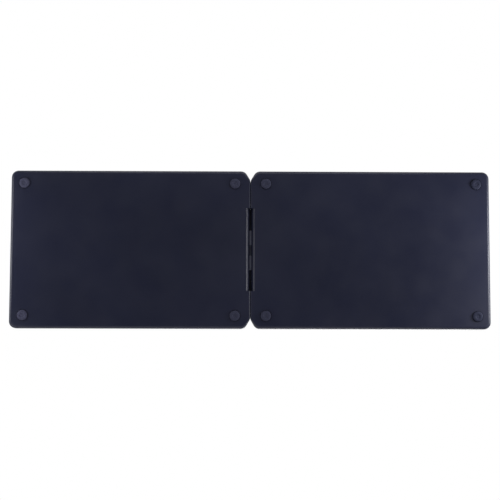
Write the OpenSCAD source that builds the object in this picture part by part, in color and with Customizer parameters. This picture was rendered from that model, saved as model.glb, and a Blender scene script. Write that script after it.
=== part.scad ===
// Folding keyboard: two equal halves joined by a metal hinge, keys up, feet down.
// X runs along the keyboard, Y towards its back edge, and Z = 0 is the table.
// Everything is modelled for the right half, at x > 0, and mirrored for the left one.

/* [Case] */
// Width of one half
half_w = 145.45; // [130:0.05:165]
// Front to back
depth = 96; // [88:0.1:110]
// Height of the case without its feet
case_h = 7.6; // [7.4:0.1:9]
// Height of the bottom cover, up to the parting line
cover_h = 4; // [3.8:0.1:4.4]
// Radius of the case corners, seen from above
corner_r = 4.2; // [3.4:0.1:6]
// Rounding of the underside along the outer edges
edge_round = 1.8; // [0.8:0.1:2]
// Rounding of the underside along the seam
seam_round = 0.9; // [0.4:0.1:1.6]
// Rounding of the rim round the keys
rim_round = 0.5; // [0.2:0.1:0.8]
// Depth of the fine groove along the parting line
groove_d = 0.15; // [0.1:0.05:0.25]
// Height of that groove
groove_h = 0.2; // [0.1:0.05:0.3]
// Thickness of the side walls
wall = 1.4; // [1.2:0.1:1.8]
// Thickness of the bottom cover's floor
floor_t = 1.2; // [1.1:0.1:1.3]
// Gap between the open halves
seam_gap = 0.05; // [0.05:0.05:0.4]
// Length of the notch at each end of the seam
notch_len = 5.9; // [4:0.1:8]
// Slant of the notch off the seam line
notch_angle = 29.5; // [15:0.5:35]
// Thickness of the locating lip under the top frame
lip_t = 0.7; // [0.5:0.1:0.9]
// Depth of the locating lip below the parting line
lip_h = 0.5; // [0.3:0.1:0.6]
// Clearance between nested mouldings
nest_gap = 0.1; // [0.05:0.05:0.2]

/* [Feet] */
// Diameter of a rubber foot
foot_d = 6.3; // [5:0.1:7]
// Height of a foot below the case
foot_stick = 1; // [0.6:0.1:1.6]
// Diameter of the ring that a foot rests on
foot_ring_d = 3.5; // [3:0.1:4]
// Depth of the dish in the middle of a foot
foot_dish = 0.25; // [0.1:0.05:0.4]
// Depth of the recess that holds a foot
foot_recess = 0.6; // [0.4:0.1:0.7]
// Gap round a foot in its recess
foot_gap = 0.25; // [0.1:0.05:0.4]
// Foot centre to the outer edge
foot_from_side = 8.1; // [6.5:0.1:10]
// Foot centre to the front or back edge
foot_from_front = 7.8; // [6.5:0.1:10]
// Foot centre to the seam
foot_from_seam = 9.4; // [8:0.1:14]

/* [Keys] */
// Seam to the first key cell
seam_margin = 4.6; // [4.6:0.1:7]
// Last key cell to the outer edge
side_margin = 6; // [5.8:0.1:9]
// Key cells to the front or back edge
row_margin = 4; // [3.2:0.1:7]
// Space between neighbouring keycaps
cap_space = 2.6; // [2.4:0.1:3.2]
// Height of a keycap
cap_h = 2.05; // [1.9:0.05:2.1]
// Thickness of a keycap's top
cap_top = 1; // [0.8:0.05:1.1]
// Thickness of a keycap's skirt
cap_wall = 1; // [0.8:0.1:1.2]
// Corner radius of a keycap
cap_r = 1.6; // [1:0.1:2]
// Rounding along a keycap's top edge
cap_round = 0.4; // [0.2:0.05:0.6]
// Depth of the keycaps below the rim
cap_drop = 0.3; // [0.2:0.05:0.5]
// Length of the bar that a finger finds on a home key
home_bar_l = 4.4; // [3:0.1:6]
// Height of that bar
home_bar_h = 0.2; // [0.1:0.05:0.25]
// Key travel
travel = 1.3; // [1:0.05:1.4]
// Gap between a keycap and its opening
cap_gap = 0.35; // [0.25:0.05:0.5]
// Depth of the web between the keys below the rim
web_drop = 1.5; // [1.3:0.1:1.7]
// Thickness of the web between the keys
web_t = 1.2; // [1:0.1:1.4]

/* [Key plate] */
// Thickness of the steel key plate
plate_t = 0.4; // [0.3:0.05:0.5]
// Thickness of the switch membrane
membrane_t = 0.3; // [0.2:0.05:0.35]
// Space left over the membrane when a key is down
press_gap = 0.05; // [0.05:0.01:0.1]
// Base diameter of a rubber dome
dome_d = 6; // [5:0.1:7]
// Top diameter of a rubber dome
dome_top_d = 3.4; // [2.6:0.1:4]
// Thickness of a rubber dome
dome_t = 0.45; // [0.3:0.05:0.6]
// Diameter of the stakes that hold the plate to the frame
stake_d = 1.2; // [1:0.1:1.4]

/* [Hinge] */
// Outer diameter of the hinge barrel
barrel_d = 3.8; // [3.4:0.1:4]
// Outer diameter of the hollow pin
pin_d = 2.2; // [2:0.05:2.3]
// Bore of the hollow pin
pin_bore_d = 1.3; // [1.25:0.05:1.4]
// Radial clearance between pin and knuckles
pin_gap = 0.03; // [0.02:0.01:0.05]
// Axis above the rims, half the gap between the closed halves
fold_gap = 0.2; // [0.15:0.05:0.3]
// Length of the slot under the barrel
slot_l = 50.4; // [48:0.1:54]
// Width of the slot above its bevels
slot_w = 1.6; // [1.6:0.1:2]
// Width of the slot at the underside
slot_mouth_w = 5; // [4.4:0.1:5.2]
// Room round the barrel in the top frame
barrel_gap = 0.2; // [0.15:0.05:0.3]
// End gap between neighbouring knuckles
knuckle_gap = 0.2; // [0.1:0.05:0.3]
// Length of the middle knuckle
mid_knuckle_l = 6.2; // [5:0.1:8]
// Middle of the barrel to the outer ends of the metal knuckles
metal_end = 12; // [11:0.1:13]
// Thickness of the hinge leaves
leaf_t = 0.8; // [0.7:0.05:0.9]
// Reach of a hinge leaf from the seam
leaf_l = 14; // [13.6:0.1:15]
// Diameter of the cable through the hinge
cable_d = 1.1; // [0.9:0.05:1.15]

/* [Inside] */
// Battery, along the keyboard
battery_l = 46; // [30:1:48]
// Battery, front to back
battery_w = 34; // [20:1:38]
// Thickness of the battery
battery_t = 1.8; // [1.2:0.1:1.85]
// Main board, along the keyboard
board_l = 66; // [60:1:68]
// Main board, front to back
board_w = 35; // [30:1:37]
// Thickness of the main board
board_t = 0.8; // [0.6:0.1:1]
// Width of the charging socket
socket_w = 8.9; // [8.6:0.1:9]
// Height of the charging socket
socket_h = 3.2; // [3:0.1:3.3]
// Depth of the charging socket
socket_l = 6.6; // [5.8:0.1:6.7]
// Length of a magnet
magnet_l = 10; // [6:0.5:12]
// Width of a magnet
magnet_w = 3; // [2:0.1:3.2]
// Thickness of a magnet
magnet_t = 1.6; // [1:0.1:1.8]
// Diameter of a light pipe
light_d = 1.2; // [0.8:0.1:1.6]

/* [Hidden] */
LETTERS = ["q", "w", "e", "r", "t", "y", "u", "i", "o", "p", "a", "s", "d",
    "f", "g", "h", "j", "k", "l", "z", "x", "c", "v", "b", "n", "m"];
KEY_NODES = concat([for (c = LETTERS) str("key_", c)], ["space_left", "space_right", "enter_key",
    "backspace_key", "number_keys_left", "number_keys_right", "modifier_keys_left",
    "punctuation_keys", "modifier_and_arrow_keys"]);
$fn = 64;
hull_fn = 32;
arc_steps = 8;
over = 1;
LEFT = -1;
RIGHT = 1;

case_colour = [0.13, 0.14, 0.19];
cap_colour = [0.1, 0.1, 0.13];
rubber_colour = [0.27, 0.28, 0.32];
dark_steel = [0.2, 0.2, 0.23];
bright_steel = [0.62, 0.63, 0.66];

// Heights, from the table up
z_case = foot_stick;
z_floor = z_case + floor_t;
z_part = z_case + cover_h;
z_groove = z_part + groove_h;
z_top = z_case + case_h;
z_axis = z_top + fold_gap;
z_cap = z_top - cap_drop - cap_h;
z_web_top = z_top - web_drop;
z_web = z_web_top - web_t;
z_membrane_top = z_cap - travel - press_gap;
z_plate_top = z_membrane_top - membrane_t;
z_plate = z_plate_top - plate_t;
z_leaf = z_plate - nest_gap - leaf_t;
z_boss = z_plate - 0.7;
z_board = z_floor + 0.3;
z_dome_top = z_cap + cap_h - cap_top;

// Places along the keyboard and across it
x_seam = seam_gap / 2;
x_side = x_seam + half_w;
y_back = depth / 2;
cells_u = 7.25;
rows = 5;
key_pitch = (half_w - seam_margin - side_margin) / cells_u;
row_pitch = (depth - 2 * row_margin) / rows;
x_keys = x_seam + seam_margin;
x_band = x_side - side_margin - cap_space / 2;

// Feet, with a screw under each
foot_x = [foot_from_seam, x_side - foot_from_side];
foot_y = y_back - foot_from_front;
screw_head_d = 3.2;
screw_head_h = 0.8;
screw_d = 1.6;
screw_gap = 0.05;
head_room = 0.1;
z_head = z_case + foot_recess + head_room;
cover_boss_d = 5.6;

// Hinge
barrel_r = barrel_d / 2;
relief_r = barrel_r + barrel_gap;
slot_half = slot_w / 2;
mouth_half = slot_mouth_w / 2;
slot_end = slot_l / 2;
slot_block = slot_half + wall + 0.6;
leaf_out = slot_half + 0.2;
leaf_bend = 0.6;
leaf_w = 2 * metal_end;
leaf_room = 0.3;
leaf_screw_x = [leaf_l * 0.43, leaf_l * 0.82];
leaf_screw_y = 8.5;
leaf_screw_d = 1.2;
leaf_head_d = 2.6;
cover_knuckle_end = slot_end + 0.1;
cable_end = slot_end - 6.1;
pin_end = cable_end - 0.1;
arm_low = z_axis - barrel_r + 0.2;

// Cable that crosses the fold: out of the pin, down a slant and along the floor
cable_r = cable_d / 2;
cable_hole_r = cable_r + 0.25;
cable_bend = 1.1;
floor_bend = 3;
bend_steps = 5;
cable_fn = 16;
slice_t = 0.02;
slant = 45;
cable_y = cable_end + 1 + cable_bend;
z_cable = z_floor + 0.1 + cable_r;
slant_len = (z_axis - z_cable - cable_bend * sin(slant) - floor_bend * (1 - cos(slant))) / sin(slant);
x_cable_flat = (cable_bend + slant_len) * cos(slant) + floor_bend * sin(slant);

// Places inside the case
battery_x = x_seam + 21;
board_x = x_side - wall - 0.3 - board_l;
board_y = 8;
socket_y = 14;
socket_z = z_board + board_t / 2 + 1.7;
socket_x = x_side - 0.1 - socket_l;
socket_gap = 0.15;
band_mid = (x_band + cap_gap + x_side) / 2;
magnet_y = 34;
light_y = [-7, -3.5, 0];
led_h = 0.5;
post_d = 2.8;
stake_head_d = 2;
stake_head_h = 0.3;
post_lines = [-34, 34];
post_x = [0.2, 0.41, 0.65, 0.82];
post_x_left = [0.62, 0.79];
post_x_right = [0.24, 0.41];
lip_start = leaf_l + 2.5;
lip_inset = wall + nest_gap;
plate_inset = lip_inset + lip_t + 0.4;
membrane_inset = plate_inset + 0.4;

// Keys of each row from the left, back row first: the node and the width in key cells
ROWS_LEFT = [
    [for (i = [1 : 7]) ["number_keys_left", i < 7 ? 1 : 1.25]],
    [["modifier_keys_left", 1.5], ["key_q", 1], ["key_w", 1], ["key_e", 1], ["key_r", 1], ["key_t", 1.75]],
    [["modifier_keys_left", 1.75], ["key_a", 1], ["key_s", 1], ["key_d", 1], ["key_f", 1], ["key_g", 1.5]],
    [["modifier_keys_left", 2.25], ["key_z", 1], ["key_x", 1], ["key_c", 1], ["key_v", 1], ["key_b", 1]],
    [["modifier_keys_left", 1.25], ["modifier_keys_left", 1], ["modifier_keys_left", 1],
        ["modifier_keys_left", 1.25], ["space_left", 2.75]],
];
ROWS_RIGHT = [
    [for (i = [1 : 7]) i < 7 ? ["number_keys_right", 1] : ["backspace_key", 1.25]],
    [["key_y", 1], ["key_u", 1], ["key_i", 1], ["key_o", 1], ["key_p", 1], ["punctuation_keys", 0.75],
        ["punctuation_keys", 0.75], ["punctuation_keys", 0.75]],
    [["key_h", 1], ["key_j", 1], ["key_k", 1], ["key_l", 1], ["punctuation_keys", 1],
        ["punctuation_keys", 0.75], ["enter_key", 1.5]],
    [["key_n", 1], ["key_m", 1], ["punctuation_keys", 1], ["punctuation_keys", 1],
        ["punctuation_keys", 1], ["modifier_and_arrow_keys", 1], ["modifier_and_arrow_keys", 1.25]],
    [["space_right", 2], ["modifier_and_arrow_keys", 1], ["modifier_and_arrow_keys", 1],
        ["modifier_and_arrow_keys", 1], ["modifier_and_arrow_keys", 1], ["modifier_and_arrow_keys", 1.25]],
];

// Cells in front of key i of a row, as a running sum
function cells_before(row, i) = i == 0 ? 0 : row[i - 1][1] + cells_before(row, i - 1);

// Rounded so that half of a width is still a whole hundredth of a millimetre
function tidy(v) = round(v / 0.02) * 0.02;

// Every key of a half: node, centre x, centre y, cap width
function half_keys(table, x_first) = [
    for (j = [0 : len(table) - 1], i = [0 : len(table[j]) - 1])
        let (cells = table[j][i][1])
        [
            table[j][i][0],
            tidy(x_first + (cells_before(table[j], i) + cells / 2) * key_pitch),
            tidy(((rows - 1) / 2 - j) * row_pitch),
            tidy(cells * key_pitch - cap_space)
        ]
];
keys_left = half_keys(ROWS_LEFT, -x_keys - cells_u * key_pitch);
keys_right = half_keys(ROWS_RIGHT, x_keys);
cap_depth = tidy(row_pitch - cap_space);
function keys_of(side) = side == LEFT ? keys_left : keys_right;

// Outline of a half with sharp corners, anticlockwise from the seam
outline = [
    [x_seam, -y_back + notch_len],
    [x_seam + notch_len * tan(notch_angle), -y_back],
    [x_side, -y_back],
    [x_side, y_back],
    [x_seam + notch_len * tan(notch_angle), y_back],
    [x_seam, y_back - notch_len],
];
underside_round = [seam_round, edge_round, edge_round, edge_round, edge_round, seam_round];

// Direction square to side i of a closed outline, pointing out of it
function side_angle(pts, i) =
    let (a = pts[i], b = pts[(i + 1) % len(pts)])
    atan2(b.y - a.y, b.x - a.x) - 90;
function side_before(pts, i) = (i + len(pts) - 1) % len(pts);
function corner_turn(pts, i) =
    let (t = side_angle(pts, i) - side_angle(pts, side_before(pts, i)))
    t < 0 ? t + 360 : t;

// Centre of the arc that rounds corner i with radius r
function corner_centre(pts, i, r) =
    let (a = side_angle(pts, i), b = side_angle(pts, side_before(pts, i)))
    pts[i] - r / (1 + cos(a - b)) * [cos(a) + cos(b), sin(a) + sin(b)];
corners = [for (i = [0 : len(outline) - 1]) corner_centre(outline, i, corner_r)];

// The rounded outline as points, moved inwards by inset
function inset_outline(inset) = [
    for (i = [0 : len(outline) - 1], k = [0 : arc_steps])
        let (a = side_angle(outline, side_before(outline, i)) + corner_turn(outline, i) * k / arc_steps)
        corners[i] + (corner_r - inset) * [cos(a), sin(a)]
];

module on_side(side) {
    mirror([side == LEFT ? 1 : 0, 0, 0])
        children();
}

// A copy of the children at the front and at the back
module front_and_back(y) {
    for (s = [-1, 1])
        translate([0, s * y, 0])
            children();
}

module inset_prism(inset, low, high) {
    translate([0, 0, low])
        linear_extrude(high - low)
            polygon(inset_outline(inset));
}

// Round disc with a quarter-round at its lower edge, its upper edge, or both
module corner_puck(r, h, low, high) {
    rotate_extrude($fn = hull_fn)
        polygon(concat(
            [[0, 0]],
            [for (k = [0 : arc_steps]) let (a = 90 * k / arc_steps) [r - low + low * sin(a), low - low * cos(a)]],
            [for (k = [0 : arc_steps]) let (a = 90 * k / arc_steps) [r - high + high * cos(a), h - high + high * sin(a)]],
            [[0, h]]
        ));
}

module half_hull(z, h, lows, high) {
    hull()
        for (i = [0 : len(corners) - 1])
            translate([corners[i].x, corners[i].y, z])
                corner_puck(corner_r, h, lows[i], high);
}

module rounded_rect(w, d, r) {
    square([w - 2 * r, d], center = true);
    square([w, d - 2 * r], center = true);
    for (x = [-1, 1], y = [-1, 1])
        translate([x * (w / 2 - r), y * (d / 2 - r)])
            circle(r, $fn = hull_fn);
}

// Flat slot with round ends, seen along the keyboard
module stadium(w, h) {
    square([w - h, h], center = true);
    for (s = [-1, 1])
        translate([s * (w - h) / 2, 0])
            circle(h / 2, $fn = hull_fn);
}

// A run of the barrel's cross-section from y0 to y1
module along_barrel(y0, y1) {
    translate([0, y1, 0])
        rotate([90, 0, 0])
            linear_extrude(y1 - y0)
                children();
}

module box_between(x0, x1, y0, y1, z0, z1) {
    translate([x0, y0, z0])
        cube([x1 - x0, y1 - y0, z1 - z0]);
}

// Opening of the charging socket in the outer wall
module socket_opening() {
    translate([socket_x - socket_gap, socket_y, socket_z])
        rotate([90, 0, 90])
            linear_extrude(socket_l + over)
                stadium(socket_w + 2 * socket_gap, socket_h + 2 * socket_gap);
}

// Bottom cover

module slot_cut() {
    bevel = mouth_half - slot_half;
    along_barrel(-slot_end, slot_end)
        polygon([
            [-over, z_case - over],
            [mouth_half + over, z_case - over],
            [slot_half, z_case + bevel],
            [slot_half, z_top],
            [-over, z_top],
        ]);
}

module plate_posts(side) {
    ends = side == LEFT ? post_x_left : post_x_right;
    for (x = post_x, y = post_lines)
        translate([x_side * x, y, z_floor - nest_gap])
            cylinder(d = post_d, h = z_plate - z_floor + nest_gap);
    for (x = ends)
        translate([x_side * x, 0, z_floor - nest_gap])
            cylinder(d = post_d, h = z_plate - z_floor + nest_gap);
    for (y = post_lines)
        box_between(lip_start, x_side - wall + nest_gap, y - 0.4, y + 0.4, z_floor - nest_gap, z_floor + 0.8);
}

module battery_tray() {
    gap = 0.3;
    rib = 0.8;
    translate([battery_x + battery_l / 2, 0, z_floor - nest_gap])
        linear_extrude(1)
            difference() {
                square([battery_l + 2 * (gap + rib), battery_w + 2 * (gap + rib)], center = true);
                square([battery_l + 2 * gap, battery_w + 2 * gap], center = true);
                square([battery_l - 8, battery_w * 2], center = true);
            }
}

board_pins = [for (x = [3, board_l - 10], y = [-1, 1]) [board_x + x, board_y + y * (board_w / 2 - 3)]];
board_pin_d = 1.2;

module board_posts() {
    for (p = board_pins)
        translate([p.x, p.y, z_floor - nest_gap]) {
            cylinder(d = 3.2, h = z_board - z_floor + nest_gap);
            cylinder(d = board_pin_d, h = z_board + board_t + 0.3 - z_floor);
        }
}

module bottom_cover(side) {
    color(case_colour) on_side(side)
        difference() {
            union() {
                difference() {
                    half_hull(z_case, cover_h, underside_round, 0);
                    inset_prism(wall, z_floor, z_part + over);
                }
                box_between(x_seam, slot_block, -slot_end - wall, slot_end + wall, z_floor - nest_gap, z_part);
                for (x = foot_x)
                    front_and_back(foot_y)
                        translate([x, 0, z_floor - nest_gap])
                            cylinder(d = cover_boss_d, h = z_boss - z_floor + nest_gap);
                for (x = leaf_screw_x)
                    front_and_back(leaf_screw_y)
                        translate([x, 0, z_floor - nest_gap])
                            cylinder(d = 3.6, h = z_leaf - z_floor + nest_gap);
                plate_posts(side);
                if (side == LEFT) battery_tray();
                if (side == RIGHT) board_posts();
            }
            slot_cut();
            box_between(x_seam - over, slot_block + over, -metal_end - leaf_room, metal_end + leaf_room,
                z_leaf - nest_gap, z_part + over);
            for (x = foot_x)
                front_and_back(foot_y)
                    translate([x, 0, 0]) {
                        translate([0, 0, z_case - over])
                            cylinder(d = foot_d + 2 * foot_gap, h = foot_recess + over);
                        translate([0, 0, z_case])
                            cylinder(d = screw_head_d + 0.4, h = z_head + screw_head_h - z_case);
                        translate([0, 0, z_case])
                            cylinder(d = screw_d + 0.2, h = z_boss + over);
                    }
            for (x = leaf_screw_x)
                front_and_back(leaf_screw_y)
                    translate([x, 0, z_case + 0.6])
                        cylinder(d = leaf_screw_d + 2 * screw_gap, h = z_leaf);
            slant_hole(side);
            if (side == RIGHT) socket_opening();
        }
}

// Top frame

// Points under the web, between the rows, where stakes hold the plate
stakes = [
    for (s = [-1, 1], p = [[18, 0.5], [18, 1.5], [x_side * 0.495, 1.5], [x_side * 0.845, 1.5]])
        [p.x, s * p.y * row_pitch]
];
web_w = cap_space - 2 * cap_gap;

module plate_stakes() {
    for (p = stakes)
        translate([p.x, p.y, 0]) {
            translate([0, 0, z_membrane_top])
                cylinder(d = web_w - 0.1, h = z_web + 0.5 - z_membrane_top);
            translate([0, 0, z_plate - stake_head_h])
                cylinder(d = stake_d, h = z_web - z_plate);
            translate([0, 0, z_plate - stake_head_h])
                cylinder(d = stake_head_d, h = stake_head_h);
        }
}

module key_openings(side) {
    for (k = keys_of(side))
        translate([side * k[1], k[2], z_web - over])
            linear_extrude(web_t + 2 * over)
                rounded_rect(k[3] + 2 * cap_gap, cap_depth + 2 * cap_gap, cap_r + cap_gap);
}

// Sunk field that the keys stand in
module key_well() {
    margin = cap_gap + 0.4;
    w = cells_u * key_pitch - cap_space + 2 * margin;
    d = rows * row_pitch - cap_space + 2 * margin;
    translate([x_keys + cells_u * key_pitch / 2, 0, z_web_top])
        linear_extrude(web_drop + over)
            rounded_rect(w, d, cap_r + margin);
}

// Room for the barrel, whose ends reach a little past the slot's
module barrel_relief() {
    translate([0, 0, z_axis])
        rotate([90, 0, 0])
            cylinder(r = relief_r, h = 2 * (cover_knuckle_end + knuckle_gap), center = true);
}

// Moulded knuckle with the arm that carries it
module moulded_knuckle(y0, y1) {
    along_barrel(y0, y1) {
        translate([0, z_axis])
            circle(barrel_r);
        translate([x_seam, arm_low])
            square([relief_r + 0.4, z_top - rim_round - arm_low]);
    }
}

// Where the frame carries knuckles: two on the right half, one end on the left half
module frame_knuckles(side) {
    if (side == RIGHT) {
        moulded_knuckle(-cable_end, -metal_end - knuckle_gap);
        moulded_knuckle(metal_end + knuckle_gap, cover_knuckle_end);
    } else {
        moulded_knuckle(-cover_knuckle_end, -cable_end - knuckle_gap);
    }
}

module knuckle_bores(side) {
    s = side == RIGHT ? 1 : -1;
    if (side == RIGHT)
        translate([0, cable_end, z_axis])
            rotate([90, 0, 0])
                cylinder(d = pin_d + 2 * pin_gap, h = 2 * cable_end + over);
    translate([0, s * (cable_y + cable_hole_r), z_axis])
        rotate([s * 90, 0, 0])
            cylinder(r = cable_hole_r, h = cable_y + cable_hole_r - cable_end + 0.4);
    slant_hole(side);
}

// Hole for the cable's slanting stretch, at the back on the right half and at the front on the left
module slant_hole(side) {
    translate([0, (side == RIGHT ? 1 : -1) * cable_y, z_axis])
        rotate([0, 180 - slant, 0])
            cylinder(r = cable_hole_r, h = cable_bend + slant_len);
}

module magnet_pockets() {
    front_and_back(magnet_y)
        box_between(band_mid - magnet_w / 2 - nest_gap / 2, band_mid + magnet_w / 2 + nest_gap / 2,
            -magnet_l / 2 - nest_gap / 2, magnet_l / 2 + nest_gap / 2, z_web - over, z_web + magnet_t);
}

module light_holes(extra) {
    for (y = light_y)
        translate([band_mid, y, z_floor])
            cylinder(d = light_d + 2 * extra, h = z_top + over - z_floor);
}

module locating_lip() {
    difference() {
        inset_prism(lip_inset, z_part - lip_h, z_part + nest_gap);
        inset_prism(lip_inset + lip_t, z_part - lip_h - over, z_part + over);
        box_between(-over, lip_start, -y_back, y_back, z_part - lip_h - over, z_part + over);
    }
}

module top_frame(side) {
    color(case_colour) on_side(side)
        difference() {
            union() {
                difference() {
                    union() {
                        half_hull(z_groove, z_top - z_groove, [0, 0, 0, 0, 0, 0], rim_round);
                        inset_prism(groove_d, z_part, z_groove + nest_gap);
                    }
                    inset_prism(lip_inset + lip_t, z_part - over, z_web);
                    key_well();
                }
                locating_lip();
                box_between(x_seam, slot_block, -slot_end - wall, slot_end + wall, z_part, z_web + nest_gap);
            }
            key_openings(side);
            barrel_relief();
            slot_cut();
            box_between(slot_half - over, leaf_out + leaf_t + 0.2, -metal_end - leaf_room, metal_end + leaf_room,
                z_part - over, z_axis);
            magnet_pockets();
            knuckle_bores(side);
            if (side == RIGHT) {
                light_holes(nest_gap / 2);
                socket_opening();
            }
        }
    color(case_colour) on_side(side) {
        difference() {
            frame_knuckles(side);
            knuckle_bores(side);
        }
        plate_stakes();
    }
}

// Feet

// Turned round its middle: a dish, the ring that it rests on, and a rounded shoulder
module foot() {
    ring_r = foot_ring_d / 2;
    ring_half = 0.25;
    shoulder_w = foot_d / 2 - ring_r - ring_half;
    shoulder_h = foot_stick * 0.7;
    rotate_extrude()
        polygon(concat(
            [[0, foot_dish], [ring_r - ring_half - 2 * foot_dish, foot_dish], [ring_r - ring_half, 0]],
            [for (k = [0 : arc_steps]) let (a = 90 * k / arc_steps)
                [ring_r + ring_half + shoulder_w * sin(a), shoulder_h * (1 - cos(a))]],
            [[foot_d / 2, foot_stick + foot_recess], [0, foot_stick + foot_recess]]
        ));
}

module feet(side) {
    color(rubber_colour) on_side(side)
        for (x = foot_x)
            front_and_back(foot_y)
                translate([x, 0, 0])
                    foot();
}

// Hinge

// Sheet bent from the barrel down the slot wall and out under the key plate
module leaf_drop() {
    outer = leaf_bend + leaf_t;
    translate([leaf_out, z_leaf + outer])
        square([leaf_t, z_axis - z_leaf - outer]);
    translate([leaf_out + outer, z_leaf + outer])
        difference() {
            intersection() {
                circle(outer);
                translate([-2 * outer, -2 * outer])
                    square(2 * outer);
            }
            circle(leaf_bend);
        }
}

module leaf_flat() {
    outer = leaf_bend + leaf_t;
    translate([leaf_out + outer, z_leaf])
        square([leaf_l - leaf_out - outer, leaf_t]);
}

module metal_knuckle(y0, y1) {
    along_barrel(y0, y1)
        difference() {
            union() {
                translate([0, z_axis])
                    circle(barrel_r);
                leaf_drop();
            }
            translate([0, z_axis])
                circle(pin_d / 2 + pin_gap);
        }
}

module leaf_screw_holes() {
    for (x = leaf_screw_x)
        front_and_back(leaf_screw_y)
            translate([x, 0, 0]) {
                translate([0, 0, z_leaf - over])
                    cylinder(d = leaf_screw_d + 2 * screw_gap, h = leaf_t + 2 * over);
                translate([0, 0, z_leaf + 0.1])
                    cylinder(d1 = leaf_screw_d + 2 * screw_gap, d2 = leaf_head_d + 2 * screw_gap, h = leaf_t - 0.1);
            }
}

module hinge_leaf(side) {
    mid_end = mid_knuckle_l / 2;
    color(side == LEFT ? bright_steel : dark_steel) on_side(side)
        difference() {
            union() {
                along_barrel(-leaf_w / 2, leaf_w / 2)
                    leaf_flat();
                if (side == LEFT) {
                    metal_knuckle(-metal_end, -mid_end - knuckle_gap);
                    metal_knuckle(mid_end + knuckle_gap, metal_end);
                } else {
                    metal_knuckle(-mid_end, mid_end);
                }
            }
            leaf_screw_holes();
        }
}

module hinge_pin() {
    color(bright_steel)
        translate([0, 0, z_axis])
            rotate([90, 0, 0])
                difference() {
                    cylinder(d = pin_d, h = 2 * pin_end, center = true);
                    cylinder(d = pin_bore_d, h = 2 * pin_end + over, center = true);
                }
}

// Key plate, membrane and domes

module sheet_holes(side, gap) {
    for (p = stakes)
        translate([p.x, p.y, z_plate - over])
            cylinder(d = stake_d + 2 * gap, h = 3 * over);
    cable_side = side == RIGHT ? 1 : -1;
    box_between(-over, x_cable_flat, cable_side * cable_y - 1.2, cable_side * cable_y + 1.2,
        z_plate - over, z_membrane_top + over);
    if (side == RIGHT) {
        light_holes(0.4);
        box_between(socket_x - 0.5, x_side, socket_y - socket_w / 2 - 0.5, socket_y + socket_w / 2 + 0.5,
            z_plate - over, z_membrane_top + over);
    }
}

module key_plate(side) {
    standoff_d = 3.4;
    color(bright_steel) on_side(side)
        difference() {
            union() {
                inset_prism(plate_inset, z_plate, z_plate_top);
                for (x = foot_x)
                    front_and_back(foot_y)
                        translate([x, 0, z_boss])
                            cylinder(d = standoff_d, h = z_plate_top - z_boss);
            }
            sheet_holes(side, 0.1);
            for (x = foot_x)
                front_and_back(foot_y)
                    translate([x, 0, z_boss - over])
                        cylinder(d = screw_d + 2 * screw_gap, h = 4 * over);
            box_between(-over, slot_block + 0.3, -slot_end - wall, slot_end + wall, z_plate - over, z_part);
        }
}

module membrane(side) {
    color([0.75, 0.76, 0.7]) on_side(side)
        difference() {
            inset_prism(membrane_inset, z_plate_top, z_membrane_top);
            sheet_holes(side, 0.2);
            box_between(-over, slot_block + 0.5, -slot_end - wall, slot_end + wall, z_plate - over, z_part);
        }
}

module dome() {
    h = z_dome_top - z_membrane_top;
    translate([0, 0, z_membrane_top])
        difference() {
            cylinder(d1 = dome_d, d2 = dome_top_d, h = h);
            translate([0, 0, -over])
                cylinder(d = dome_d - 2 * dome_t - 1, h = over + 0.3);
            cylinder(d1 = dome_d - 2 * dome_t, d2 = dome_top_d - 2 * dome_t, h = h - dome_t);
        }
}

module domes(side) {
    color([0.8, 0.82, 0.84])
        for (k = keys_of(side))
            translate([k[1], k[2], 0])
                dome();
}

// Electronics

module main_board() {
    chip_h = 0.7;
    gap = nest_gap;
    color("darkgreen")
        difference() {
            union() {
                box_between(board_x, board_x + board_l, board_y - board_w / 2, board_y + board_w / 2,
                    z_board, z_board + board_t);
                translate([board_x + 20, board_y, z_board + board_t])
                    translate([-3.5, -3.5, 0])
                        cube([7, 7, chip_h]);
                translate([board_x + 34, board_y - 8, z_board + board_t])
                    cube([3, 3, chip_h]);
                translate([board_x + 1, cable_y - 2.5, z_board + board_t])
                    cube([3, 5, chip_h]);
                for (y = light_y)
                    translate([band_mid - 0.8, y - 0.5, z_board + board_t])
                        cube([1.6, 1, led_h]);
            }
            for (p = board_pins)
                translate([p.x, p.y, z_board - over])
                    cylinder(d = board_pin_d + 0.2, h = 3 * over);
            box_between(socket_x - gap, x_side, socket_y - socket_w / 2 - gap, socket_y + socket_w / 2 + gap,
                z_board - over, z_board + board_t + over);
        }
}

module battery() {
    color("silver")
        on_side(LEFT)
            translate([battery_x + battery_l / 2, 0, z_floor])
                linear_extrude(battery_t)
                    rounded_rect(battery_l, battery_w, 1.5);
}

module charge_socket() {
    shell = 0.3;
    color(bright_steel)
        translate([socket_x, socket_y, socket_z])
            rotate([90, 0, 90]) {
                difference() {
                    linear_extrude(socket_l)
                        stadium(socket_w, socket_h);
                    translate([0, 0, over])
                        linear_extrude(socket_l)
                            stadium(socket_w - 2 * shell, socket_h - 2 * shell);
                }
                translate([-3.3, -0.35, shell])
                    cube([6.6, 0.7, socket_l - 1.5]);
            }
}

module magnets(side) {
    color("silver") on_side(side)
        front_and_back(magnet_y)
            box_between(band_mid - magnet_w / 2, band_mid + magnet_w / 2, -magnet_l / 2, magnet_l / 2,
                z_web, z_web + magnet_t - nest_gap / 2);
}

module light_pipes() {
    bottom = z_board + board_t + led_h;
    color("white")
        for (y = light_y)
            translate([band_mid, y, bottom])
                cylinder(d = light_d, h = z_top - bottom);
}

// A place round a bend, at an angle from the bend's start
module round_bend(radius, angle) {
    translate([radius * (1 - cos(angle)), 0, radius * sin(angle)])
        rotate([0, angle, 0])
            children();
}

module cable_slice(length) {
    cylinder(r = cable_r, h = length + slice_t, $fn = cable_fn);
}

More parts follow.
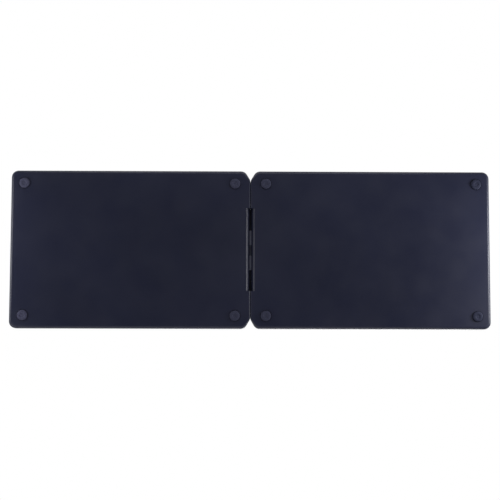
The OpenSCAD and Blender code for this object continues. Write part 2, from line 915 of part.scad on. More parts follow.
// Cable run by steps of [roll before the step, straight length, bend radius, turn]
module cable_run(steps, i = 0) {
    if (i < len(steps))
        rotate(steps[i][0]) {
            bend = steps[i][2];
            turn = steps[i][3] / bend_steps;
            cable_slice(steps[i][1]);
            translate([0, 0, steps[i][1]]) {
                if (turn > 0)
                    for (k = [1 : bend_steps])
                        hull() {
                            round_bend(bend, (k - 1) * turn)
                                cable_slice(0);
                            round_bend(bend, k * turn)
                                cable_slice(0);
                        }
                round_bend(bend, steps[i][3])
                    cable_run(steps, i + 1);
            }
        }
}

// Through the barrel from y_start, down the slant, to a run along the floor that ends at x_end
module cable_branch(y_start, x_end) {
    translate([0, y_start, z_axis])
        rotate([-90, 0, 0])
            cable_run([
                [slant, cable_end + 1 - y_start, cable_bend, 90],
                [-90, slant_len, floor_bend, slant],
                [0, x_end - x_cable_flat, 0, 0],
            ]);
}

module link_cable_right() {
    color([0.08, 0.08, 0.09])
        cable_branch(cable_end, board_x - nest_gap);
}

module link_cable_left() {
    plug = 3;
    x_plug = battery_x + 6;
    color([0.08, 0.08, 0.09])
        rotate(180) {
            cable_branch(-cable_end, x_plug);
            translate([x_plug - plug / 2, cable_y - plug / 2, z_floor])
                cube([2 * plug, plug, 1.6]);
        }
}

// Screws

module cover_screw() {
    translate([0, 0, z_head])
        difference() {
            union() {
                cylinder(d = screw_head_d, h = screw_head_h);
                cylinder(d = screw_d, h = z_plate_top - 0.1 - z_head);
            }
            translate([0, 0, -over])
                cylinder(d = 1.2, h = over + 0.5, $fn = 6);
        }
}

module leaf_screw() {
    translate([0, 0, z_case + 0.7])
        difference() {
            union() {
                cylinder(d = leaf_screw_d, h = z_leaf + leaf_t - z_case - 0.7);
                translate([0, 0, z_leaf + 0.1 - z_case - 0.7])
                    cylinder(d1 = leaf_screw_d, d2 = leaf_head_d, h = leaf_t - 0.1);
            }
            translate([0, 0, z_leaf + leaf_t - z_case - 1])
                cylinder(d = 0.9, h = over, $fn = 6);
        }
}

module screws(side) {
    color("dimgray") on_side(side) {
        for (x = foot_x)
            front_and_back(foot_y)
                translate([x, 0, 0])
                    cover_screw();
        for (x = leaf_screw_x)
            front_and_back(leaf_screw_y)
                translate([x, 0, 0])
                    leaf_screw();
    }
}

// Keycaps

// Cross-section of a cap from side to side, rounded along its top edges
module cap_section(w) {
    difference() {
        translate([-w / 2, 0])
            square([w, cap_h]);
        for (s = [-1, 1])
            translate([s * (w / 2 - cap_round), cap_h - cap_round])
                difference() {
                    translate([s > 0 ? 0 : -cap_round - over, 0])
                        square([cap_round + over, cap_round + over]);
                    circle(cap_round, $fn = hull_fn);
                }
    }
}

module keycap(w, d) {
    difference() {
        union() {
            translate([0, d / 2 - cap_r, 0])
                rotate([90, 0, 0])
                    linear_extrude(d - 2 * cap_r)
                        cap_section(w);
            translate([-w / 2 + cap_r, 0, 0])
                rotate([90, 0, 90])
                    linear_extrude(w - 2 * cap_r)
                        cap_section(d);
            for (i = [0 : 3])
                translate([(i % 3 == 0 ? 1 : -1) * (w / 2 - cap_r), (i < 2 ? 1 : -1) * (d / 2 - cap_r), 0])
                    rotate(90 * i)
                        rotate_extrude(angle = 90)
                            intersection() {
                                cap_section(2 * cap_r);
                                square([cap_r, cap_h]);
                            }
        }
        translate([cap_wall - w / 2, cap_wall - d / 2, -over])
            cube([w - 2 * cap_wall, d - 2 * cap_wall, cap_h - cap_top + over]);
    }
}

module home_bar() {
    bar_w = 0.8;
    from_front = 2.6;
    translate([0, from_front - cap_depth / 2, cap_h - cap_top / 2])
        linear_extrude(cap_top / 2 + home_bar_h)
            stadium(home_bar_l, bar_w);
}

module keys(name) {
    color(cap_colour)
        for (k = concat(keys_left, keys_right))
            if (k[0] == name)
                translate([k[1], k[2], z_cap]) {
                    keycap(k[3], cap_depth);
                    if (name == "key_f" || name == "key_j") home_bar();
                }
}

bottom_cover(LEFT);  // bottom_cover_left
bottom_cover(RIGHT);  // bottom_cover_right
top_frame(LEFT);  // top_frame_left
top_frame(RIGHT);  // top_frame_right
feet(LEFT);  // feet_left
feet(RIGHT);  // feet_right
hinge_leaf(LEFT);  // hinge_leaf_left
hinge_leaf(RIGHT);  // hinge_leaf_right
hinge_pin();
key_plate(LEFT);  // key_plate_left
key_plate(RIGHT);  // key_plate_right
membrane(LEFT);  // membrane_left
membrane(RIGHT);  // membrane_right
domes(LEFT);  // domes_left
domes(RIGHT);  // domes_right
main_board();
battery();
charge_socket();
link_cable_left();
link_cable_right();
magnets(LEFT);  // magnets_left
magnets(RIGHT);  // magnets_right
light_pipes();
screws(LEFT);  // screws_left
screws(RIGHT);  // screws_right
for (name = KEY_NODES)
    keys(name);
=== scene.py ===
"""Folding keyboard, seen from below as in the photograph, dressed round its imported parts."""

import logging
import math
from dataclasses import dataclass, field
from enum import Enum
from typing import Iterable, Protocol, Sequence

import bmesh
import bpy
from mathutils import Matrix, Vector


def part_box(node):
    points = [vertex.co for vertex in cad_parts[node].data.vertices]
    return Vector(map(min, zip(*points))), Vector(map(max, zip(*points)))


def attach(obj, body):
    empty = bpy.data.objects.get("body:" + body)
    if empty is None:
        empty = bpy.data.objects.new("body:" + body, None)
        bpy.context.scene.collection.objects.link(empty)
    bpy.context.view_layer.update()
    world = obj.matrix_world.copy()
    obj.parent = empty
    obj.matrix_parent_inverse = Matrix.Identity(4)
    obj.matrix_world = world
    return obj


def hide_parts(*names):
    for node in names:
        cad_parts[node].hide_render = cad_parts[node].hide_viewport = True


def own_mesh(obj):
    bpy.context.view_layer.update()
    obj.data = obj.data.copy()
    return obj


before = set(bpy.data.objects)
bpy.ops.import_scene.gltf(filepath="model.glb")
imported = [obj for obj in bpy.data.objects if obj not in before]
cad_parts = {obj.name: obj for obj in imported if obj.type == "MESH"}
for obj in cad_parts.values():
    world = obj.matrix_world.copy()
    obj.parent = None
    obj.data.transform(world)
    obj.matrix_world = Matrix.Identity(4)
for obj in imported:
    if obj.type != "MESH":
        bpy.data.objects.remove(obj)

LOG = logging.getLogger("folding_keyboard")
MM = 0.001

Colour = tuple[float, float, float]
Place = tuple[float, float, float]
Range = tuple[float, float]
Size = tuple[float, float]
Socket = bpy.types.NodeSocket

FULL: Range = (0.0, 1.0)
# The colour sockets of a Mix node, which has others of the same names
MIX_LOW, MIX_HIGH, MIX_RESULT = 6, 7, 2


class Side(Enum):
    """The two halves of the keyboard, as the typist sees them."""

    LEFT = "left"
    RIGHT = "right"

    def node(self, name: str) -> str:
        """The name of this half's own copy of a CAD node."""
        return f"{name}_{self.value}"

    @property
    def body(self) -> str:
        """The CAD body that the pieces of this half ride on."""
        return f"{self.value}_half"


class LabelKind(Enum):
    """How a keycap is printed."""

    LETTER = "letter"
    PAIR = "pair"
    WORD = "word"
    ARROW = "arrow"
    BLANK = "blank"


@dataclass(frozen=True)
class Layer:
    """A layer of noise.

    Attributes:
        scale: Cells per metre.
        detail: How many finer layers it has.
        span: The stretch of its values that counts.
    """

    scale: float
    detail: float = 2.0
    span: Range = (0.3, 0.7)


class Wiring:
    """Short calls for wiring the nodes of a material or of the world."""

    def __init__(self, tree: bpy.types.NodeTree) -> None:
        """Takes a tree and empties it.

        Args:
            tree: The nodes of a material or of the world.
        """
        self.tree = tree
        self.tree.nodes.clear()

    def new(self, kind: str, **settings: object) -> bpy.types.Node:
        """Adds a node.

        Args:
            kind: The node's type in Blender.
            **settings: Properties to set on it.

        Returns:
            The new node.
        """
        node = self.tree.nodes.new(kind)
        for key, value in settings.items():
            setattr(node, key, value)
        return node

    def link(self, source: Socket, target: Socket) -> None:
        """Joins an output to an input."""
        self.tree.links.new(source, target)

    def spread(self, value: Socket, source: Range, target: Range) -> Socket:
        """Maps a value from one range to another and clamps it.

        Args:
            value: The value to map.
            source: Its low and high end.
            target: What these become.

        Returns:
            The mapped value.
        """
        node = self.new("ShaderNodeMapRange")
        self.link(value, node.inputs["Value"])
        ends = ("From Min", "From Max", "To Min", "To Max")
        for key, number in zip(ends, (*source, *target)):
            node.inputs[key].default_value = number
        return node.outputs["Result"]

    def larger(self, one: Socket, other: Socket) -> Socket:
        """The larger of two values.

        Args:
            one: A value.
            other: Another value.

        Returns:
            The larger one.
        """
        node = self.new("ShaderNodeMath", operation="MAXIMUM")
        self.link(one, node.inputs[0])
        self.link(other, node.inputs[1])
        return node.outputs[0]

    def mix_shaders(self, factor: Socket, first: Socket, second: Socket) -> Socket:
        """Mixes two shaders.

        Args:
            factor: 0 for the first shader and 1 for the second.
            first: A shader.
            second: Another shader.

        Returns:
            The mixed shader.
        """
        node = self.new("ShaderNodeMixShader")
        for source, socket in zip((factor, first, second), node.inputs):
            self.link(source, socket)
        return node.outputs[0]


class NodeGraph(Wiring):
    """The nodes of one material, round a Principled shader."""

    def __init__(self, name: str) -> None:
        """Makes an empty material with a Principled shader on its output.

        Args:
            name: The name of the material.
        """
        self.material = bpy.data.materials.new(name)
        self.material.use_nodes = True
        super().__init__(self.material.node_tree)
        self.shader = self.new("ShaderNodeBsdfPrincipled")
        self.surface = self.new("ShaderNodeOutputMaterial").inputs["Surface"]
        self.link(self.shader.outputs["BSDF"], self.surface)
        self.coordinates = self.new("ShaderNodeTexCoord").outputs["Object"]

    def set(self, **values: object) -> None:
        """Sets constants on the shader's own sockets, with _ for a space in a socket's name."""
        for key, value in values.items():
            self.shader.inputs[key.replace("_", " ")].default_value = value

    def stretch(self, scale: Place) -> Socket:
        """Object coordinates scaled along each axis.

        Args:
            scale: The scale along X, Y and Z.

        Returns:
            The scaled coordinates.
        """
        mapping = self.new("ShaderNodeMapping")
        mapping.inputs["Scale"].default_value = scale
        self.link(self.coordinates, mapping.inputs["Vector"])
        return mapping.outputs["Vector"]

    def lengthwise(self) -> Socket:
        """How far along the keyboard a point lies.

        Returns:
            The point's X, in metres from the keyboard's middle.
        """
        split = self.new("ShaderNodeSeparateXYZ")
        self.link(self.coordinates, split.inputs[0])
        return split.outputs["X"]

    def noise(self, layer: Layer, vector: Socket | None = None) -> Socket:
        """Soft noise from 0 to 1.

        Args:
            layer: Its scale and detail.
            vector: Coordinates, or None for the object's own.

        Returns:
            The noise value.
        """
        node = self.new("ShaderNodeTexNoise")
        node.inputs["Scale"].default_value = layer.scale
        node.inputs["Detail"].default_value = layer.detail
        self.link(vector or self.coordinates, node.inputs["Vector"])
        return node.outputs["Fac"]

    def vary(self, layer: Layer, target: Range, vector: Socket | None = None) -> Socket:
        """A value that a layer of noise moves within a range.

        Args:
            layer: The layer of noise.
            target: The lowest and highest value.
            vector: Coordinates, or None for the object's own.

        Returns:
            The varying value.
        """
        return self.spread(self.noise(layer, vector), layer.span, target)

    def blend(self, factor: Socket, low: Colour | Socket, high: Colour | Socket) -> Socket:
        """Mixes two colours.

        Args:
            factor: 0 for the low colour and 1 for the high one.
            low: A colour or a socket with one.
            high: A colour or a socket with one.

        Returns:
            The mixed colour.
        """
        node = self.new("ShaderNodeMix", data_type="RGBA")
        self.link(factor, node.inputs[0])
        for socket, value in ((node.inputs[MIX_LOW], low), (node.inputs[MIX_HIGH], high)):
            if isinstance(value, bpy.types.NodeSocket):
                self.link(value, socket)
            else:
                socket.default_value = (*value, 1.0)
        return node.outputs[MIX_RESULT]

    def bump(self, height: Socket, strength: float, distance: float,
             normal: Socket | None = None) -> Socket:
        """Turns a height into a bent normal.

        Args:
            height: The height, from 0 to 1.
            strength: How much of the bump shows.
            distance: The height's size in metres.
            normal: A normal that is already bent, or None.

        Returns:
            The bent normal.
        """
        node = self.new("ShaderNodeBump")
        node.inputs["Strength"].default_value = strength
        node.inputs["Distance"].default_value = distance
        self.link(height, node.inputs["Height"])
        if normal is not None:
            self.link(normal, node.inputs["Normal"])
        return node.outputs["Normal"]

    def paint(self, colour: Socket, roughness: Socket,
              normal: Socket | None = None) -> bpy.types.Material:
        """Wires the shader's colour, roughness and normal.

        Args:
            colour: The surface colour.
            roughness: The surface roughness.
            normal: The bent normal, or None.

        Returns:
            The finished material.
        """
        self.link(colour, self.shader.inputs["Base Color"])
        self.link(roughness, self.shader.inputs["Roughness"])
        if normal is not None:
            self.link(normal, self.shader.inputs["Normal"])
        return self.material


class Finish(Protocol):
    """What every finish has: a name, and a way to make its material."""

    name: str

    def material(self) -> bpy.types.Material:
        """Builds the material."""


@dataclass(frozen=True)
class MouldedPlastic:
    """Matt moulded plastic with a fine spark-eroded grain and faint sink marks.

    Attributes:
        name: The material's name.
        colour: The plastic's own colour.
        lighter: The colour of its lighter patches and flecks.
        roughness: The roughness where it is handled least and most.
        specular: How strongly it shines.
        grain_scale: Cells of the grain per metre.
        grain_detail: How many finer layers the grain has.
        grain_height: The grain's depth.
        grain_strength: How much of the grain shows.
        fleck_to_grain: The flecks' cells per metre, as a share of the grain's.
        fleck_span: The stretch of the flecks' noise that counts.
        fleck_share: How much lighter the flecks are.
        patches: The broad lighter patches.
        handling: Where it is handled.
        sinks: The faint hollows that a moulding has.
        sink_depth: Their depth.
        sink_strength: How much of them shows.
    """

    name: str
    colour: Colour
    lighter: Colour
    roughness: Range = (0.42, 0.54)
    specular: float = 0.3
    grain_scale: float = 2600.0
    grain_detail: float = 3.0
    grain_height: float = 0.02 * MM
    grain_strength: float = 0.35
    fleck_to_grain: float = 0.6
    fleck_span: Range = (0.3, 0.75)
    fleck_share: Range = (0.0, 0.5)
    patches: Layer = Layer(16.0, 4.0, (0.35, 0.68))
    handling: Layer = Layer(55.0, 5.0, (0.35, 0.7))
    sinks: Layer = Layer(28.0, 1.0)
    sink_depth: float = 0.08 * MM
    sink_strength: float = 0.12

    def material(self) -> bpy.types.Material:
        """Builds the material.

        Returns:
            The finished material.
        """
        graph = NodeGraph(self.name)
        grain = Layer(self.grain_scale, self.grain_detail)
        fleck_scale = self.grain_scale * self.fleck_to_grain
        flecks = Layer(fleck_scale, self.grain_detail, self.fleck_span)
        colour = graph.blend(graph.vary(self.patches, FULL), self.colour, self.lighter)
        colour = graph.blend(graph.vary(flecks, self.fleck_share), colour, self.lighter)
        roughness = graph.vary(self.handling, self.roughness)
        normal = graph.bump(graph.noise(grain), self.grain_strength, self.grain_height)
        normal = graph.bump(graph.noise(self.sinks), self.sink_strength, self.sink_depth, normal)
        graph.set(Specular_IOR_Level=self.specular)
        return graph.paint(colour, roughness, normal)


@dataclass(frozen=True)
class MouldedRubber:
    """Matt rubber with a dusty bloom, and painted light that can make it lighter towards the
    keyboard's right end.
    """

    name: str
    colour: Colour
    bloom: Colour
    specular: float = 0.25
    roughness: Range = (0.62, 0.8)
    # Painted light: a lighter colour that the rubber is blended to along the keyboard, and where that
    # blend starts and ends
    painted_light_end: Colour | None = None
    painted_light_from: float = -150.0 * MM
    painted_light_to: float = 150.0 * MM
    dust: Layer = Layer(420.0, 5.0, (0.35, 0.75))
    wear: Layer = Layer(900.0, 3.0)
    pits: Layer = Layer(4200.0, 3.0)
    pit_depth: float = 0.02 * MM
    pit_strength: float = 0.4

    def material(self) -> bpy.types.Material:
        """Builds the material.

        Returns:
            The finished material.
        """
        graph = NodeGraph(self.name)
        colour = graph.blend(graph.vary(self.dust, FULL), self.colour, self.bloom)
        # Painted light: blends the colour to a lighter one towards the keyboard's right end, standing
        # in for the light that falls on the feet there
        if self.painted_light_end is not None:
            along = graph.spread(graph.lengthwise(), (self.painted_light_from, self.painted_light_to), FULL)
            colour = graph.blend(along, colour, self.painted_light_end)
        roughness = graph.vary(self.wear, self.roughness)
        normal = graph.bump(graph.noise(self.pits), self.pit_strength, self.pit_depth)
        graph.set(Specular_IOR_Level=self.specular)
        return graph.paint(colour, roughness, normal)


@dataclass(frozen=True)
class WorkedMetal:
    """Metal with the fine lines of its grinding or rolling."""

    name: str
    colour: Colour
    darker: Colour
    roughness: Range = (0.22, 0.38)
    lines: Place = (400.0, 6000.0, 6000.0)
    line_height: float = 0.004 * MM
    line_strength: float = 0.3
    line_shade: Range = (0.0, 0.35)
    brushing: Layer = Layer(1.0, 3.0)
    tarnish: Layer = Layer(240.0, 4.0, (0.35, 0.8))
    tarnish_shade: Range = (0.0, 0.8)

    def material(self) -> bpy.types.Material:
        """Builds the material.

        Returns:
            The finished material.
        """
        graph = NodeGraph(self.name)
        brushing = graph.noise(self.brushing, graph.stretch(self.lines))
        streaks = graph.spread(brushing, self.brushing.span, self.line_shade)
        tarnish = graph.vary(self.tarnish, self.tarnish_shade)
        colour = graph.blend(tarnish, self.colour, self.darker)
        colour = graph.blend(streaks, colour, self.darker)
        roughness = graph.spread(brushing, self.brushing.span, self.roughness)
        normal = graph.bump(brushing, self.line_strength, self.line_height)
        graph.set(Metallic=1.0)
        return graph.paint(colour, roughness, normal)


@dataclass(frozen=True)
class ThinFilm:
    """Printed polyester film of the switch membrane."""

    name: str
    colour: Colour
    tracks: Colour
    track_run: Place = (60.0, 480.0, 60.0)
    track_edge: Layer = Layer(1.0, 1.0, (0.52, 0.56))
    gloss: Layer = Layer(200.0, 3.0)
    roughness: Range = (0.25, 0.4)
    waves: Layer = Layer(90.0)
    wave_height: float = 0.05 * MM
    wave_strength: float = 0.1

    def material(self) -> bpy.types.Material:
        """Builds the material.

        Returns:
            The finished material.
        """
        graph = NodeGraph(self.name)
        printed = graph.vary(self.track_edge, FULL, graph.stretch(self.track_run))
        colour = graph.blend(printed, self.colour, self.tracks)
        roughness = graph.vary(self.gloss, self.roughness)
        normal = graph.bump(graph.noise(self.waves), self.wave_strength, self.wave_height)
        return graph.paint(colour, roughness, normal)


@dataclass(frozen=True)
class CircuitBoard:
    """Solder mask with buried tracks."""

    name: str
    mask: Colour
    tracks: Colour
    track_run: Place = (90.0, 900.0, 90.0)
    track_edge: Layer = Layer(1.0, 0.0, (0.5, 0.55))
    track_height: float = 0.02 * MM
    track_strength: float = 0.3
    gloss: Layer = Layer(300.0)
    roughness: Range = (0.3, 0.42)

    def material(self) -> bpy.types.Material:
        """Builds the material.

        Returns:
            The finished material.
        """
        graph = NodeGraph(self.name)
        runs = graph.vary(self.track_edge, FULL, graph.stretch(self.track_run))
        colour = graph.blend(runs, self.mask, self.tracks)
        roughness = graph.vary(self.gloss, self.roughness)
        normal = graph.bump(runs, self.track_strength, self.track_height)
        return graph.paint(colour, roughness, normal)


@dataclass(frozen=True)
class PrintedInk:
    """Pad-printed ink that is a little worn."""

    name: str
    colour: Colour
    worn: Colour
    specular: float = 0.3
    wear: Layer = Layer(1500.0, 4.0, (0.45, 0.8))
    gloss: Layer = Layer(900.0)
    roughness: Range = (0.5, 0.65)

    def material(self) -> bpy.types.Material:
        """Builds the material.

        Returns:
            The finished material.
        """
        graph = NodeGraph(self.name)
        colour = graph.blend(graph.vary(self.wear, FULL), self.colour, self.worn)
        graph.set(Specular_IOR_Level=self.specular)
        return graph.paint(colour, graph.vary(self.gloss, self.roughness))


@dataclass(frozen=True)
class FrostedPlastic:
    """Clear plastic with a frosted end, for the light pipes."""

    name: str
    colour: Colour
    frosted: Colour
    clearness: float = 0.35
    frost: Layer = Layer(1800.0, 3.0)
    frost_share: Range = (0.0, 0.5)
    gloss: Layer = Layer(2500.0)
    roughness: Range = (0.25, 0.45)

    def material(self) -> bpy.types.Material:
        """Builds the material.

        Returns:
            The finished material.
        """
        graph = NodeGraph(self.name)
        frost = graph.vary(self.frost, self.frost_share)
        colour = graph.blend(frost, self.colour, self.frosted)
        graph.set(Transmission_Weight=self.clearness)
        return graph.paint(colour, graph.vary(self.gloss, self.roughness))


CASE_PLASTIC = MouldedPlastic("case_plastic", (0.0070, 0.0084, 0.0212), (0.0093, 0.0109, 0.0262),
                              roughness=(0.36, 0.46), specular=0.28)
CAP_PLASTIC = MouldedPlastic("cap_plastic", (0.0100, 0.0100, 0.0135), (0.0135, 0.0135, 0.0170),
                             roughness=(0.48, 0.62), specular=0.22, grain_scale=3200.0)
# The feet's rubber is painted lighter towards the keyboard's right end, as painted light
FOOT_RUBBER = MouldedRubber("foot_rubber", (0.0120, 0.0135, 0.0265), (0.0180, 0.020, 0.036),
                            specular=0.08, roughness=(0.6, 0.72), painted_light_end=(0.034, 0.035, 0.060))
DOME_RUBBER = MouldedRubber("dome_rubber", (0.52, 0.54, 0.56), (0.62, 0.63, 0.64), specular=0.4)
CABLE_JACKET = MouldedRubber("cable_jacket", (0.008, 0.008, 0.009), (0.014, 0.014, 0.015),
                             specular=0.4)
LEAF_STEEL = WorkedMetal("leaf_steel", (0.405, 0.42, 0.55), (0.295, 0.305, 0.405),
                         roughness=(0.36, 0.48))
BLACK_STEEL = WorkedMetal("blackened_steel", (0.150, 0.158, 0.215), (0.100, 0.106, 0.148),
                          roughness=(0.35, 0.5))
PIN_STEEL = WorkedMetal("pin_steel", (0.5, 0.5, 0.52), (0.34, 0.34, 0.36),
                        roughness=(0.15, 0.28), lines=(6000.0, 300.0, 6000.0))
PLATE_STEEL = WorkedMetal("plate_steel", (0.38, 0.38, 0.39), (0.27, 0.27, 0.28),
                          roughness=(0.3, 0.45), lines=(200.0, 3000.0, 3000.0))
SCREW_STEEL = WorkedMetal("screw_steel", (0.32, 0.32, 0.33), (0.2, 0.2, 0.21),
                          roughness=(0.25, 0.4))
SOCKET_STEEL = WorkedMetal("socket_steel", (0.5, 0.5, 0.52), (0.36, 0.36, 0.38),
                           roughness=(0.2, 0.34))
MAGNET_NICKEL = WorkedMetal("magnet_nickel", (0.55, 0.54, 0.52), (0.4, 0.39, 0.38),
                            roughness=(0.12, 0.22))
POUCH_FOIL = WorkedMetal("pouch_foil", (0.6, 0.6, 0.61), (0.42, 0.42, 0.44),
                         roughness=(0.28, 0.45), lines=(900.0, 900.0, 900.0), line_height=0.03 * MM)
SWITCH_FILM = ThinFilm("switch_film", (0.5, 0.5, 0.45), (0.22, 0.22, 0.21))
BOARD_MASK = CircuitBoard("board_mask", (0.012, 0.075, 0.03), (0.03, 0.13, 0.055))
LEGEND_INK = PrintedInk("legend_ink", (0.62, 0.63, 0.65), (0.42, 0.43, 0.45))
PIPE_PLASTIC = FrostedPlastic("pipe_plastic", (0.7, 0.72, 0.75), (0.5, 0.52, 0.55))


class Wardrobe:
    """Hands out each finish's material, built once."""

    def __init__(self) -> None:
        """Starts with no material made."""
        self._made: dict[str, bpy.types.Material] = {}

    def get(self, finish: Finish) -> bpy.types.Material:
        """The material of a finish.

        Args:
            finish: The finish.

        Returns:
            Its material.
        """
        if finish.name not in self._made:
            self._made[finish.name] = finish.material()
        return self._made[finish.name]

    def dress(self, finish: Finish, *nodes: str) -> None:
        """Gives CAD nodes a finish.

        Args:
            finish: The finish.
            *nodes: Names of CAD nodes.
        """
        for name in nodes:
            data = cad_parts[name].data
            data.materials.clear()
            data.materials.append(self.get(finish))
            LOG.info("%s wears %s", name, finish.name)


def add_piece(name: str, shape: bmesh.types.BMesh, body: str,
              material: bpy.types.Material, smooth: bool = True) -> bpy.types.Object:
    """Makes a piece of the scene from a finished mesh.

    Args:
        name: The piece's name.
        shape: Its mesh in the row frame, in metres. It is freed.
        body: The CAD body it rides on.
        material: Its material.
        smooth: Whether its faces are shaded smooth.

    Returns:
        The new object.
    """
    data = bpy.data.meshes.new(name)
    shape.to_mesh(data)
    shape.free()
    data.materials.append(material)
    for polygon in data.polygons:
        polygon.use_smooth = smooth
    piece = bpy.data.objects.new(name, data)
    bpy.context.scene.collection.objects.link(piece)
    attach(piece, body)
    LOG.info("%s rides on %s", name, body)
    return piece


@dataclass
class CaseHalf:
    """The two mouldings of one half of the case, and the feet under them."""

    side: Side
    wardrobe: Wardrobe

    def build(self) -> None:
        """Dresses the cover, the frame and the feet."""
        mouldings = (self.side.node("bottom_cover"), self.side.node("top_frame"))
        self.wardrobe.dress(CASE_PLASTIC, *mouldings)
        self.wardrobe.dress(FOOT_RUBBER, self.side.node("feet"))


@dataclass
class BarrelHinge:
    """The leaves, the hollow pin and the cable inside it."""

    wardrobe: Wardrobe

    def build(self) -> None:
        """Dresses the hinge's metal and the cable."""
        self.wardrobe.dress(LEAF_STEEL, "hinge_leaf_left")
        self.wardrobe.dress(BLACK_STEEL, "hinge_leaf_right")
        self.wardrobe.dress(PIN_STEEL, "hinge_pin")
        self.wardrobe.dress(CABLE_JACKET, "link_cable_left", "link_cable_right")


@dataclass
class InnerWorks:
    """What lies inside the case: plates, membranes, board, battery and fixings."""

    wardrobe: Wardrobe

    def build(self) -> None:
        """Dresses every inner node but the domes, which the key field splits by key."""
        for side in Side:
            self.wardrobe.dress(PLATE_STEEL, side.node("key_plate"))
            self.wardrobe.dress(SWITCH_FILM, side.node("membrane"))
            self.wardrobe.dress(MAGNET_NICKEL, side.node("magnets"))
            self.wardrobe.dress(SCREW_STEEL, side.node("screws"))
        self.wardrobe.dress(BOARD_MASK, "main_board")
        self.wardrobe.dress(POUCH_FOIL, "battery")
        self.wardrobe.dress(SOCKET_STEEL, "charge_socket")
        self.wardrobe.dress(PIPE_PLASTIC, "light_pipes")


@dataclass(frozen=True)
class Key:
    """One key of the layout: its body, width in cells and print."""

    body: str
    cells: float
    kind: LabelKind = LabelKind.BLANK
    text: str = ""
    upper: str = ""


def letters(caps: str, last: float = 1.0) -> list[Key]:
    """Keys with one capital each, one cell wide but for the last.

    Args:
        caps: The capitals from left to right.
        last: The width of the last key, in cells.

    Returns:
        One key for each capital.
    """
    widths = [1.0] * (len(caps) - 1) + [last]
    return [Key(f"key_{c.lower()}", w, LabelKind.LETTER, c) for c, w in zip(caps, widths)]


def pairs(body: str, lower: str, upper: str, cells: float = 1.0,
          last: float | None = None) -> list[Key]:
    """Keys of one body with a sign above another.

    Args:
        body: The body that they all belong to.
        lower: The lower signs from left to right.
        upper: The upper signs from left to right.
        cells: The width of a key, in cells.
        last: The width of the last key, or None where it is the same.

    Returns:
        One key for each pair of signs.
    """
    widths = [cells] * (len(lower) - 1) + [cells if last is None else last]
    return [Key(body, w, LabelKind.PAIR, t, u) for w, t, u in zip(widths, lower, upper)]


def word(body: str, cells: float, text: str) -> Key:
    """A key with a small word on it."""
    return Key(body, cells, LabelKind.WORD, text)


def arrow(body: str, cells: float, way: str) -> Key:
    """A key with an arrow on it, which points the way that is named."""
    return Key(body, cells, LabelKind.ARROW, way)


NUMBERS_LEFT, NUMBERS_RIGHT = "number_keys_left", "number_keys_right"
GROUP_LEFT, GROUP_RIGHT = "modifier_keys_left", "modifier_and_arrow_keys"
SIGNS = "punctuation_keys"
ROWS_LEFT: list[list[Key]] = [
    [word(NUMBERS_LEFT, 1.0, "esc"), *pairs(NUMBERS_LEFT, "123456", "!@#$%^", last=1.25)],
    [word(GROUP_LEFT, 1.5, "tab"), *letters("QWERT", last=1.75)],
    [word(GROUP_LEFT, 1.75, "caps"), *letters("ASDFG", last=1.5)],
    [word(GROUP_LEFT, 2.25, "shift"), *letters("ZXCVB")],
    [word(GROUP_LEFT, 1.25, "fn"), word(GROUP_LEFT, 1.0, "ctrl"), word(GROUP_LEFT, 1.0, "home"),
     word(GROUP_LEFT, 1.25, "alt"), Key("space_left", 2.75)],
]
ROWS_RIGHT: list[list[Key]] = [
    [*pairs(NUMBERS_RIGHT, "7890-=", "&*()_+"), arrow("backspace_key", 1.25, "back")],
    [*letters("YUIOP"), *pairs(SIGNS, "[]\\", "{}|", cells=0.75)],
    [*letters("HJKL"), *pairs(SIGNS, ";'", ":\"", last=0.75), word("enter_key", 1.5, "enter")],
    [*letters("NM"), *pairs(SIGNS, ",./", "<>?"), arrow(GROUP_RIGHT, 1.0, "up"),
     word(GROUP_RIGHT, 1.25, "shift")],
    [Key("space_right", 2.0), word(GROUP_RIGHT, 1.0, "alt"), word(GROUP_RIGHT, 1.0, "ctrl"),
     arrow(GROUP_RIGHT, 1.0, "left"), arrow(GROUP_RIGHT, 1.0, "down"),
     arrow(GROUP_RIGHT, 1.25, "right")],
]

# Outlines of the printed arrows, in shares of an arrow's size, and the turns of the plain one
PLAIN_ARROW = ((0.5, 0.0), (-0.35, 0.55), (-0.35, -0.55))
BACK_ARROW = ((0.9, 0.13), (-0.2, 0.13), (-0.2, 0.6), (-1.1, 0.0),
              (-0.2, -0.6), (-0.2, -0.13), (0.9, -0.13))
ARROW_TURNS = {"right": 0.0, "up": 90.0, "left": 180.0, "down": 270.0}

# Joints that aren't named after the body that they move
OTHER_JOINTS = {"enter_key": "key_enter_press", "backspace_key": "key_backspace_press"}


